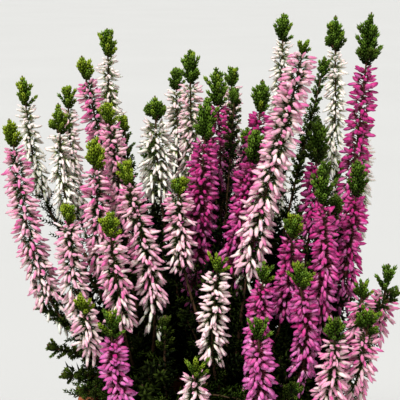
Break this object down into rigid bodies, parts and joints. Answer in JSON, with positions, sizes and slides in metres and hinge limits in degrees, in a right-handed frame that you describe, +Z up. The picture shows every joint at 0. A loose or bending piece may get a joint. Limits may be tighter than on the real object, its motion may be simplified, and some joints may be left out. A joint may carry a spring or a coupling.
{
  "type": "potted heather",
  "caption": "Bushy heather with upright spikes of pink, white and magenta bud flowers and leafy green tips, rooted in soil in a plain clay pot.",
  "frame": {"origin": "centre of the pot's base, on the pot's axis", "axes": "+Z up along the pot axis, -Y towards the front that faces the viewer, +X to the right as seen from the front"},
  "size_m": [0.1754, 0.1528, 0.289],
  "materials": {
    "terracotta": "matte",
    "soil": "matte",
    "foliage": "satin",
    "pink_flower": "satin",
    "white_flower": "satin",
    "magenta_flower": "satin"
  },
  "bodies": {
    "root": {"pot": "terracotta", "soil": "soil", "pink_left_flowers_1": "pink_flower", "pink_left_flowers_2": "pink_flower", "pink_left_flowers_3": "pink_flower", "pink_left_flowers_4": "pink_flower", "pink_left_flowers_5": "pink_flower", "pink_left_flowers_6": "pink_flower", "pink_left_flowers_7": "pink_flower", "pink_left_flowers_8": "pink_flower", "pink_left_stems": "foliage", "white_left_flowers_1": "white_flower", "white_left_flowers_2": "white_flower", "white_left_flowers_3": "white_flower", "white_left_flowers_4": "white_flower", "white_left_flowers_5": "white_flower", "white_left_stems": "foliage", "white_centre_flowers_1": "white_flower", "white_centre_flowers_2": "white_flower", "white_centre_flowers_3": "white_flower", "white_centre_flowers_4": "white_flower", "white_centre_flowers_5": "white_flower", "white_centre_stems": "foliage", "magenta_centre_flowers_1": "magenta_flower", "magenta_centre_flowers_2": "magenta_flower", "magenta_centre_flowers_3": "magenta_flower", "magenta_centre_flowers_4": "magenta_flower", "magenta_centre_stems": "foliage", "pink_front_flowers_1": "pink_flower", "pink_front_flowers_2": "pink_flower", "pink_front_flowers_3": "pink_flower", "pink_front_flowers_4": "pink_flower", "pink_front_stems": "foliage", "white_right_flowers_1": "white_flower", "white_right_flowers_2": "white_flower", "white_right_flowers_3": "white_flower", "white_right_flowers_4": "white_flower", "white_right_flowers_5": "white_flower", "white_right_stems": "foliage", "magenta_right_flowers_1": "magenta_flower", "magenta_right_flowers_2": "magenta_flower", "magenta_right_flowers_3": "magenta_flower", "magenta_right_flowers_4": "magenta_flower", "magenta_right_stems": "foliage", "pink_right_flowers_1": "pink_flower", "pink_right_flowers_2": "pink_flower", "pink_right_flowers_3": "pink_flower", "pink_right_flowers_4": "pink_flower", "pink_right_stems": "foliage", "magenta_front_flowers_1": "magenta_flower", "magenta_front_flowers_2": "magenta_flower", "magenta_front_flowers_3": "magenta_flower", "magenta_front_flowers_4": "magenta_flower", "magenta_front_stems": "foliage", "magenta_left_flowers_1": "magenta_flower", "magenta_left_stems": "foliage", "pink_back_flowers_1": "pink_flower", "pink_back_flowers_2": "pink_flower", "pink_back_flowers_3": "pink_flower", "pink_back_stems": "foliage"}
  },
  "joints": []
}
